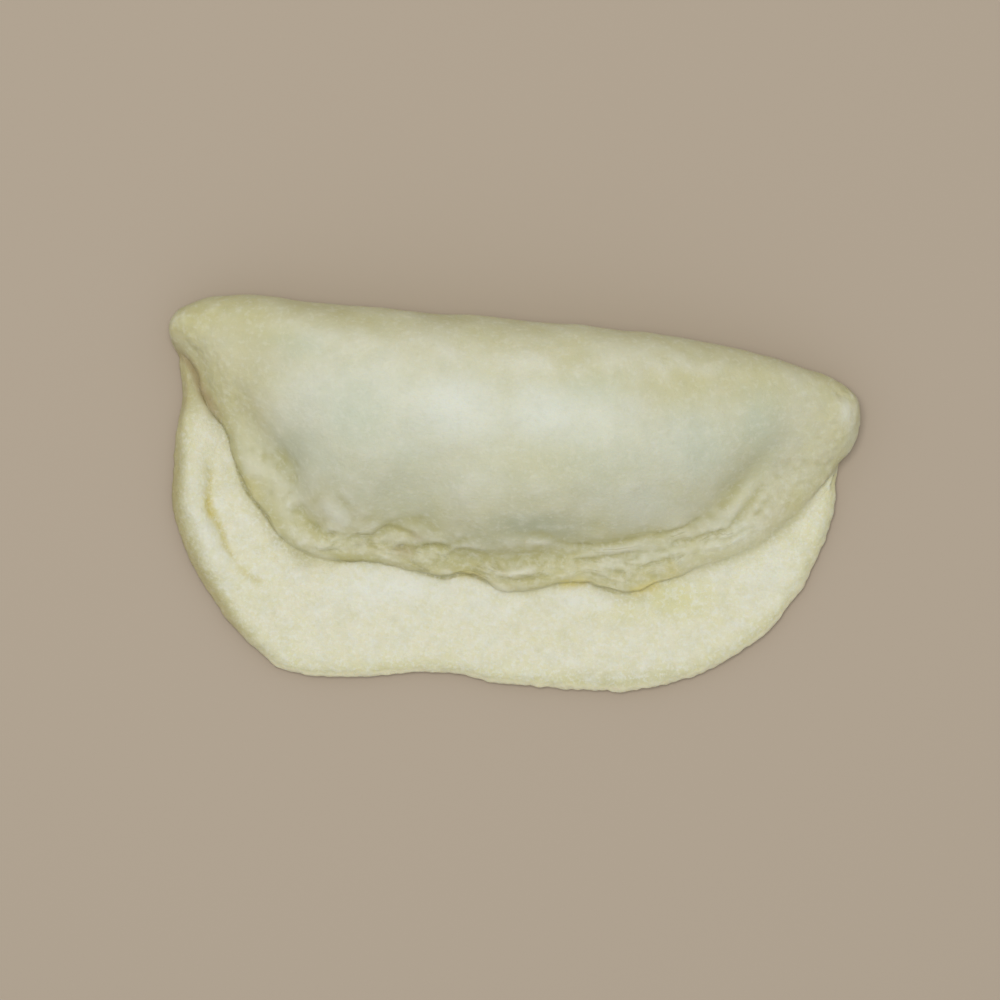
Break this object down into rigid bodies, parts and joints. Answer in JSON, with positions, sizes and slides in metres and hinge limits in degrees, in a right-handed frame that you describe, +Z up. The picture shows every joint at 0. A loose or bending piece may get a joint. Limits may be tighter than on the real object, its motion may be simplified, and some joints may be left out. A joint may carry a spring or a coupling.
{
  "type": "pirozhok",
  "caption": "Raw filled yeast-dough pastry: a rolled disc folded over its filling, lying flat with the near border of the lower half showing, not yet pinched shut or baked.",
  "frame": {"origin": "centre of the bounding box in plan, on the flat surface that the pastry lies on", "axes": "+X along the fold, to the right as seen from the open side; +Y towards the fold; +Z up"},
  "size_m": [0.12, 0.0684, 0.0228],
  "materials": {
    "dough": "satin"
  },
  "bodies": {
    "root": {"dough": "dough"}
  },
  "joints": []
}
